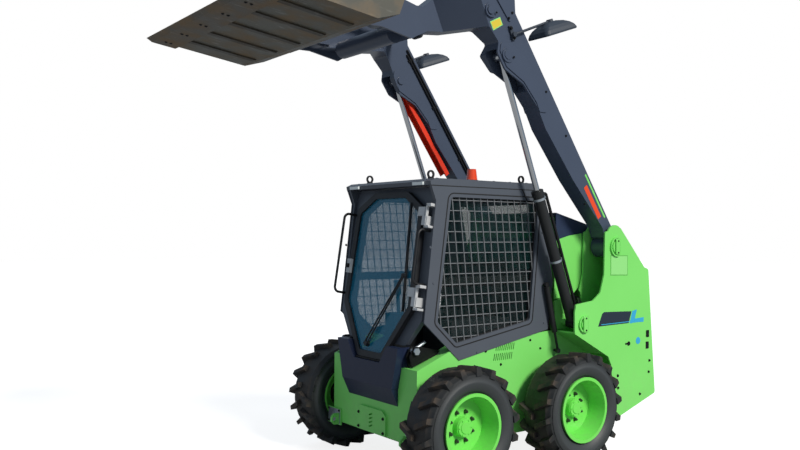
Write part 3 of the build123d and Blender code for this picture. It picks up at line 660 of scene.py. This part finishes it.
def stuffed(name, low, high, turn=None):
    """A stuffed pad: a rounded block blown up gently as cloth, by a little, then smoothed."""
    slack, puffs = 0.010, 20
    shape = bmesh.new()
    box(shape, low, high, 0.035, turn)
    pad = piece(name, shape, "chassis", vinyl)
    bpy.context.view_layer.objects.active = pad
    remesh = pad.modifiers.new("even", "REMESH")
    remesh.mode = "VOXEL"
    remesh.voxel_size = 0.006
    bpy.ops.object.modifier_apply(modifier="even")
    scene = bpy.context.scene
    cloth = pad.modifiers.new("stuffing", "CLOTH")
    cloth.settings.use_pressure = True
    cloth.settings.uniform_pressure_force = 4
    cloth.settings.effector_weights.gravity = 0
    cloth.point_cache.frame_start = 1
    cloth.point_cache.frame_end = puffs
    before = [vert.co.copy() for vert in pad.data.vertices]
    for number in range(1, puffs + 1):
        scene.frame_set(number)
    bpy.ops.object.modifier_apply(modifier="stuffing")
    scene.frame_set(1)
    for vert, old in zip(pad.data.vertices, before):
        moved = vert.co - old
        if moved.length > slack:
            vert.co = old + moved.normalized() * slack
    finer = pad.modifiers.new("finer", "SUBSURF")
    finer.levels = finer.render_levels = 1
    pad.data.polygons.foreach_set("use_smooth", [True] * len(pad.data.polygons))
    return pad


recline = Matrix.Rotation(radians(-11), 3, "X")
seat_pad = stuffed("seat_pad", at(-0.225, -0.125, 0.915), at(0.225, 0.260, 1.005))
stuffed("back_pad", at(-0.215, 0.235, 0.990), at(0.215, 0.325, 1.390), recline)
pan = bmesh.new()
box(pan, at(-0.215, -0.110, 0.900), at(0.215, 0.300, 0.920), 0.006)
box(pan, at(-0.200, 0.318, 0.960), at(0.200, 0.336, 1.340), 0.006, recline)
piece("seat_pan", pan, "chassis", black_paint)
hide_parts("cab_seat")

# ---- kick panel --------------------------------------------------------------
# The sheet under the door, in blue-black paint, with a rubber seal on its top edge
# where the door closes on it.
panel_paint = Finish("panel_paint", "#202a44", Specular_IOR_Level=0.35)
panel_paint.sheen(0.3, 30.0, 0.12)
panel_paint.relief(panel_paint.cloud(300.0, 2.0), 0.00006)
panel_paint.cover("kick_panel")
sill = bmesh.new()
box(sill, at(-0.152, -0.742, 0.7352), at(0.152, -0.722, 0.747), 0.003)
piece("door_sill_seal", sill, "chassis", black_rubber)

# ---- door: frame, hinges and wiper -------------------------------------------
# A black frame round one sheet of glass, hung on two cast hinges in brackets. The
# wiper's twin arm carries a long blade from a spindle low on the glass, and a knob
# opens the door on its right.
door_paint = Finish("door_paint", "#1c1e22")
door_paint.sheen(0.4, 35.0, 0.2)
door_paint.cover("door_frame")
hinge_metal = Finish("hinge_metal", "#c2c4c6", 0.2)
hinge_metal.sheen(0.34, 30.0, 0.2)
hinge_metal.cover("door_hinge_leaves", "door_hinge_posts")
lean = radians(8.96)
tip_in = Matrix.Rotation(-lean, 3, "X")
door_foot_y, door_foot_z = -0.735, 0.750


def on_door(x, up, out):
    """A point in the leaning door's own directions: across, up and out in front."""
    y = door_foot_y + up * sin(lean) - out * cos(lean)
    z = door_foot_z + up * cos(lean) + out * sin(lean)
    return at(x, y, z)


def door_block(shape, across, up, depth, bevel):
    """A block in the door's own directions, each given as from and to."""
    middle = on_door(sum(across) / 2, sum(up) / 2, sum(depth) / 2)
    half = Vector((across[1] - across[0], depth[1] - depth[0], up[1] - up[0])) / 2
    box(shape, middle - half, middle + half, bevel, tip_in)


hinge_brackets = bmesh.new()
for low, high in ((0.352, 0.516), (0.884, 1.044)):
    door_block(hinge_brackets, (0.438, 0.450), (low, high), (0.000, 0.020), 0.002)
    door_block(hinge_brackets, (0.438, 0.488), (high - 0.020, high), (-0.030, 0.020), 0.003)
    door_block(hinge_brackets, (0.438, 0.488), (low, low + 0.016), (-0.030, 0.020), 0.003)
piece("hinge_brackets", hinge_brackets, "chassis", hinge_metal)

spindle, grip = (-0.050, 0.090), (0.285, 0.573)
blade_top, blade_foot = (0.252, 1.055), (0.312, 0.335)
wiper = bmesh.new()
rod(wiper, on_door(*spindle, -0.014), on_door(*spindle, 0.012), 0.022, 0.018)
for shift in (-0.016, 0.016):
    start = on_door(spindle[0] + shift, spindle[1], 0.008)
    rod(wiper, start, on_door(grip[0] + shift * 0.5, grip[1], 0.010), 0.006, sides=12)
for out, r in ((0.002, 0.009), (-0.007, 0.0045)):
    rod(wiper, on_door(*blade_foot, out), on_door(*blade_top, out), r, sides=6)
yoke = [on_door(grip[0] + reach, grip[1], 0.008) for reach in (-0.02, 0.02)]
rod(wiper, *yoke, 0.010, sides=12)
piece("wiper", wiper, "door", black_paint)
knob = bmesh.new()
rod(knob, on_door(-0.374, 0.610, 0.022), on_door(-0.374, 0.610, 0.040), 0.016, 0.014, 32)
piece("door_knob", knob, "door", black_steel)

# ---- engine hood and rear door -----------------------------------------------
# The hood is a folded sheet in blue-black paint. A small round lock holds the green
# louvred rear door on its right.
hood_paint = paint("hood_paint", "#27344f", "#202c45", "#5d5f66", 0.4, 0.15)
hood_paint.cover("engine_hood")
lock = bmesh.new()
lock_foot = Vector((-0.420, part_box("rear_door")[1].y - 0.052, 0.800))
rod(lock, lock_foot, lock_foot + Vector((0, 0.030, 0)), 0.024, 0.022, 32)
piece("rear_door_lock", lock, "rear_door", black_steel)

# ---- lift arms ---------------------------------------------------------------
# Box-section arms welded from plate, in graphite paint. Bolts hold the cover plate and
# the mirror's foot; blank yellow and orange decals and a green stripe are stuck outside.
graphite = paint("graphite_paint", "#424c5f", "#394355", "#6f6a62", 0.34, 0.0)
graphite.cover("lift_arm_left", "lift_arm_right", "cross_tubes", "coupler")
pipe_paint.cover("arm_pipes")
arm_x = 0.660
yellow_film = Finish("yellow_film", "#d9c23a")
yellow_film.sheen(0.34, 20.0, 0.12)
orange_film = Finish("orange_film", "#e4481c")
orange_film.sheen(0.34, 20.0, 0.12)
arm_foot, arm_head = Vector((0.961, 1.644)), Vector((-0.025, 3.054))
arm_way = (arm_head - arm_foot).normalized()
arm_off = Vector((-arm_way.y, arm_way.x))


def on_arm(along, off):
    """(y, z) on an arm's flank: a distance up its rear edge, and in from that edge."""
    return tuple(arm_foot + arm_way * along + arm_off * off)


def arm_patch(low, high, near, far):
    """A rectangle on an arm's flank, between two distances up its rear edge and in from it."""
    return [on_arm(*corner) for corner in ((low, near), (high, near), (high, far), (low, far))]


square = [(-0.244, 2.962), (-0.167, 3.000), (-0.147, 2.962), (-0.220, 2.919)]
labels_yellow, labels_pale, labels_orange, labels_green = (bmesh.new() for _ in range(4))
for hand in (-1, 1):
    skin, first, second = (hand * (arm_x + out) for out in (0, film, two_films))
    side_patch(labels_pale, grown(square, 0.006), skin, first)
    side_patch(labels_yellow, square, skin, second)
    side_patch(labels_green, arm_patch(0.100, 0.470, 0.016, 0.030), skin, first)
    side_patch(labels_orange, arm_patch(0.130, 0.400, 0.052, 0.090), skin, first)
piece("yellow_decals", labels_yellow, "lift_arm", yellow_film)
piece("decal_borders", labels_pale, "lift_arm", pale_film)
piece("orange_decals", labels_orange, "lift_arm", orange_film)
piece("green_stripes", labels_green, "lift_arm", green_paint)

# how far out of the arm's flank each group stands, its heads' width and height, and
# where its bolts are: round the cover plate, on the mirror's foot, on the pins' keepers
# and along the flank
bolt_groups = [
    (0.008, 0.014, 0.008, [
        (-0.145, 3.238), (-0.182, 3.135), (-0.092, 3.010),
        (-0.062, 3.050), (-0.072, 3.175), (-0.118, 3.244),
    ]),
    (0.014, 0.018, 0.010, [(-0.078, 2.945), (-0.046, 2.888)]),
    (0.012, 0.011, 0.006, [(-0.047, 2.758), (-0.206, 3.028)]),
    (0.000, 0.013, 0.007, [on_arm(0.300, 0.150), on_arm(0.800, 0.040), on_arm(1.150, 0.040)]),
]
arm_bolts = bmesh.new()
for hand in (-1, 1):
    for proud, across, tall, spots in bolt_groups:
        for y, z in spots:
            bolt(arm_bolts, at(hand * (arm_x + proud), y, z), (hand, 0, 0), across, tall)
piece("arm_bolts", arm_bolts, "lift_arm", black_steel)

# ---- mirrors -----------------------------------------------------------------
# Moulded black shells on bent rods; a flat mirror is bonded to the underside of each.
black_plastic = Finish("black_plastic", "#2c3542")
black_plastic.sheen(0.45, 30.0, 0.15)
black_plastic.relief(black_plastic.cloud(600.0, 2.0), 0.0001)
silvered = Finish("mirror_silver", "#c9d3d8", 1.0)
silvered.sheen(0.03, 4.0, 0.03)
mirror_x, mirror_tilt = 0.682, Matrix.Rotation(radians(20), 3, "X")
mirror_foot_y, mirror_foot_z = -0.055, 2.905
foot_plate = [(-0.094, 2.958), (-0.068, 2.964), (-0.031, 2.876), (-0.058, 2.868)]
# half width, half length and height of each level of a shell, from its rim to its crown
levels = [
    (0.097, 0.157, 0.000), (0.100, 0.160, 0.003), (0.100, 0.160, 0.012), (0.092, 0.148, 0.034),
    (0.077, 0.122, 0.056), (0.055, 0.084, 0.075), (0.028, 0.034, 0.087),
]
shells, glass_plates = bmesh.new(), bmesh.new()
for hand in (-1, 1):
    rim = at(hand * mirror_x, 0.310, 2.960)
    rings = []
    for across, length, height in levels:
        corners = [(-across, -length), (across, -length), (across, length), (-across, length)]
        ring = [Vector((x, y, height)) for x, y in rounded(corners, across * 0.32)]
        rings.append([shells.verts.new(rim + mirror_tilt @ point) for point in ring])
    for low, high in zip(rings, rings[1:]):
        for i in range(len(low)):
            after = (i + 1) % len(low)
            shells.faces.new((low[i], low[after], high[after], high[i]))
    shells.faces.new(rings[0])
    shells.faces.new(rings[-1])
    crown, cap, arm_end = (rim + mirror_tilt @ Vector((0, 0, up)) for up in (0.080, 0.104, 0.090))
    rod(shells, crown, cap, 0.027, 0.022)
    inner, foot, outer = (
        at(hand * (mirror_x + out), mirror_foot_y, mirror_foot_z) for out in (-0.010, 0, 0.010)
    )
    rod(shells, foot, arm_end, 0.009)
    rod(shells, inner, outer, 0.016)
    side_patch(shells, foot_plate, hand * arm_x, hand * (arm_x + 0.014))
    middle = rim + mirror_tilt @ Vector((0, 0, -0.001))
    reach = Vector((0.088, 0.148, 0.001))
    box(glass_plates, middle - reach, middle + reach, 0.0008, mirror_tilt)
mirror_shells = piece("mirror_shells", shells, "lift_arm", black_plastic)
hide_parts("mirrors")
piece("mirror_glass", glass_plates, "lift_arm", silvered)

# ---- cylinders ---------------------------------------------------------------
# Painted barrels and hard-chromed rods. Zinc clamps hold two steel lines along each
# lift barrel, down from its ports to its base, and a rubber seal wipes each lift rod.
barrel_paint = Finish("barrel_paint", "#242628", 0.2)
barrel_paint.sheen(0.34, 25.0, 0.15)
barrel_paint.relief(barrel_paint.cloud(300.0, 2.0), 0.00006)
chrome = Finish("hard_chrome", "#d3d6da", 1.0)
chrome.sheen(0.1, 60.0, 0.08)
for side_name in ("left", "right"):
    barrel_paint.cover(f"lift_barrel_{side_name}", f"tilt_barrel_{side_name}")
    chrome.cover(f"lift_rod_{side_name}", f"tilt_rod_{side_name}")
lift_foot, lift_pin = Vector((0.620, 0.957)), Vector((-0.095, 2.770))
lift_way = (lift_pin - lift_foot).normalized()
lift_back = Vector((lift_way.y, -lift_way.x))
lift_x, barrel_r, line_off = 0.595, 0.039, 0.056


def by_barrel(x, along, off):
    """A point beside a lift barrel: up from its base pin, and off its axis to the rear."""
    return at(x, *(lift_foot + lift_way * along + lift_back * off))


def band(shape, start, end, r_in, r_out):
    """A ring round the line between two points."""
    line = end - start
    turn = Vector((0, 0, 1)).rotation_difference(line).to_matrix()
    profile = [(r_in, 0), (r_out, 0), (r_out, line.length), (r_in, line.length)]
    corners = [shape.verts.new(start + turn @ Vector((r, 0, up))) for r, up in profile]
    edges = [shape.edges.new(pair) for pair in zip(corners, corners[1:] + corners[:1])]
    bmesh.ops.spin(
        shape, geom=corners + edges, cent=start, axis=line.normalized(),
        angle=2 * pi, steps=48, use_merge=True,
    )


for hand, side_name in ((1, "left"), (-1, "right")):
    x = hand * lift_x
    body = f"lift_barrel_{side_name}"
    clamps = bmesh.new()
    for along in (0.470, 0.930):
        start, end = by_barrel(x, along, 0), by_barrel(x, along + 0.016, 0)
        band(clamps, start, end, barrel_r - 0.001, barrel_r + 0.003)
        start, end = by_barrel(x, along, line_off), by_barrel(x, along + 0.016, line_off)
        rod(clamps, start, end, 0.020, sides=16)
    piece(f"barrel_clamps_{side_name}", clamps, body, zinc)
    for number, (shift, top) in enumerate(((-0.016, 0.560), (0.016, 0.965))):
        line_route = [
            (top, 0.030), (top, 0.058), (top - 0.035, 0.058),
            (0.400, line_off), (0.250, line_off), (0.100, line_off), (0.085, 0.030),
        ]
        route = [by_barrel(x + shift, along, off) for along, off in line_route]
        pipe(f"barrel_line_{side_name}_{number}", body, route, 0.011)
    seal = bmesh.new()
    band(seal, by_barrel(x, 1.000, 0), by_barrel(x, 1.004, 0), 0.0206, barrel_r - 0.005)
    piece(f"rod_seal_{side_name}", seal, body, black_rubber)

# ---- arm lock ----------------------------------------------------------------
# The folded red bar that is set round a cylinder's rod to hold the arms up.
red_paint = paint("red_paint", "#e63a1c", "#d63216", "#8a8578", 0.4, 0.0)
red_paint.cover("arm_lock")

# ---- bucket ------------------------------------------------------------------
# Wear-resistant plate, scraped bare in places, with a bolt-on cutting edge and skid
# strips welded underneath. Digging has left earth on the underside.


def worn(name, colour, bare, earth, covered):
    """Dark plate, rubbed through to steel in scratches, with dry earth."""
    made = Finish(name, colour)
    sockets = {0: made.place(), 3: (6, 1, 6)}
    stretched = made.node("ShaderNodeMapping", {"vector_type": "POINT"}, sockets)
    scratch = made.over(made.cloud(9.0, 8.0, stretched), 0.58, 0.72)
    soil = made.over(made.cloud(5.0, 7.0), 0.42, 0.68) * covered
    metal = made.blend(scratch * 0.6, shade(colour), shade(bare))
    made.set("Base Color", made.blend(soil, metal, shade(earth)))
    made.set("Metallic", scratch * 0.5)
    made.set("Roughness", 0.48 + soil * 0.35 - scratch * 0.12)
    made.relief(made.cloud(70.0, 5.0), 0.0004)
    return made


shell_steel = worn("shell_steel", "#53524a", "#82817a", "#7d6648", 0.75)
shell_steel.cover("bucket_shell")
edge_steel = worn("edge_steel", "#4a463e", "#85827c", "#7a6448", 0.8)
edge_steel.cover("cutting_edge")
# painted shade: the skid strips take a darker copy of the shell's steel and earth, standing for
# the shadow along each strip's step
shaded_strip_steel = worn("shaded_strip_steel", "#353129", "#6a655c", "#4f4333", 0.6)
shaded_strip_steel.cover("wear_strips")
lip, heel = Vector((-1.980, 2.886)), Vector((-1.260, 2.788))
lip_way = (heel - lip).normalized()
lip_down = Vector((lip_way.y, -lip_way.x))
down = Vector((0, *lip_down))
edge_bolts = bmesh.new()
for x in (-0.74, -0.46, -0.16, 0.16, 0.46, 0.74):
    for back in (0.100, 0.135):
        foot = at(x, *(lip + lip_way * back + lip_down * 0.018))
        rod(edge_bolts, foot, foot + down * 0.003, 0.011, 0.009, 16)
        rod(edge_bolts, foot + down * 0.003, foot + down * 0.006, 0.006, sides=6)
piece("edge_bolts", edge_bolts, "bucket", black_steel)

# ---- floor, lights and camera ------------------------------------------------
# A plain pale floor under a soft high sun. The sky is white to look at and a pale blue
# as light. The camera stands off the machine's front left corner at about eye height.
floor_shape = bmesh.new()
bmesh.ops.create_grid(floor_shape, x_segments=1, y_segments=1, size=40.0)
floor_mesh = bpy.data.meshes.new("floor")
floor_shape.to_mesh(floor_mesh)
floor_shape.free()
floor = bpy.data.objects.new("floor", floor_mesh)
bpy.context.scene.collection.objects.link(floor)


def looked_at(nodes):
    """1 on the way to the camera, also through glass, and 0 on the way to a surface."""
    camera_ray = nodes.node("ShaderNodeLightPath", output="Is Camera Ray")
    through = nodes.node("ShaderNodeLightPath", output="Is Transmission Ray")
    return nodes.node("ShaderNodeMath", {"operation": "MAXIMUM"}, {0: camera_ray, 1: through})


white = Finish("floor_white", "#a6a6a6", Roughness=0.9, Emission_Strength=1.0)
white.set("Emission Color", white.blend(looked_at(white), (0, 0, 0, 1), (0.84, 0.84, 0.84, 1)))
floor_mesh.materials.append(white.material)

sky = bpy.data.worlds.new("sky")
bpy.context.scene.world = sky
sky.use_nodes = True
sky_nodes = Nodes(sky.node_tree)
sky_colour = sky_nodes.blend(looked_at(sky_nodes), (0.24, 0.30, 0.37, 1), (1, 1, 1, 1))
sky_nodes.feed(sky.node_tree.nodes["Background"].inputs["Color"], sky_colour)

sun = bpy.data.lights.new("sun", "SUN")
sun.energy = 3.3
sun.angle = radians(14)
sun.color = (1.0, 0.95, 0.87)
sun_lamp = bpy.data.objects.new("sun", sun)
to_sun = Vector((1.0, 0.15, 0.75))
sun_lamp.rotation_euler = to_sun.to_track_quat("Z", "Y").to_euler()
bpy.context.scene.collection.objects.link(sun_lamp)

azimuth, pitch, roll = radians(53.6115), radians(0.5549), radians(0.371)
look = Vector((-sin(azimuth) * cos(pitch), cos(azimuth) * cos(pitch), sin(pitch)))
right = Vector((cos(azimuth), sin(azimuth), 0))
up = right.cross(look)
camera_right = right * cos(roll) + up * sin(roll)
camera_up = up * cos(roll) - right * sin(roll)
turn = Matrix((camera_right, camera_up, -look)).transposed().to_4x4()
camera_lens = bpy.data.cameras.new("camera")
camera_lens.sensor_width = 36.0
camera_lens.lens = 37.23
camera = bpy.data.objects.new("camera", camera_lens)
camera.matrix_world = Matrix.Translation(at(4.6245, -3.8872, 1.5903)) @ turn
bpy.context.scene.collection.objects.link(camera)
bpy.context.scene.camera = camera
bpy.context.scene.view_settings.view_transform = "Standard"
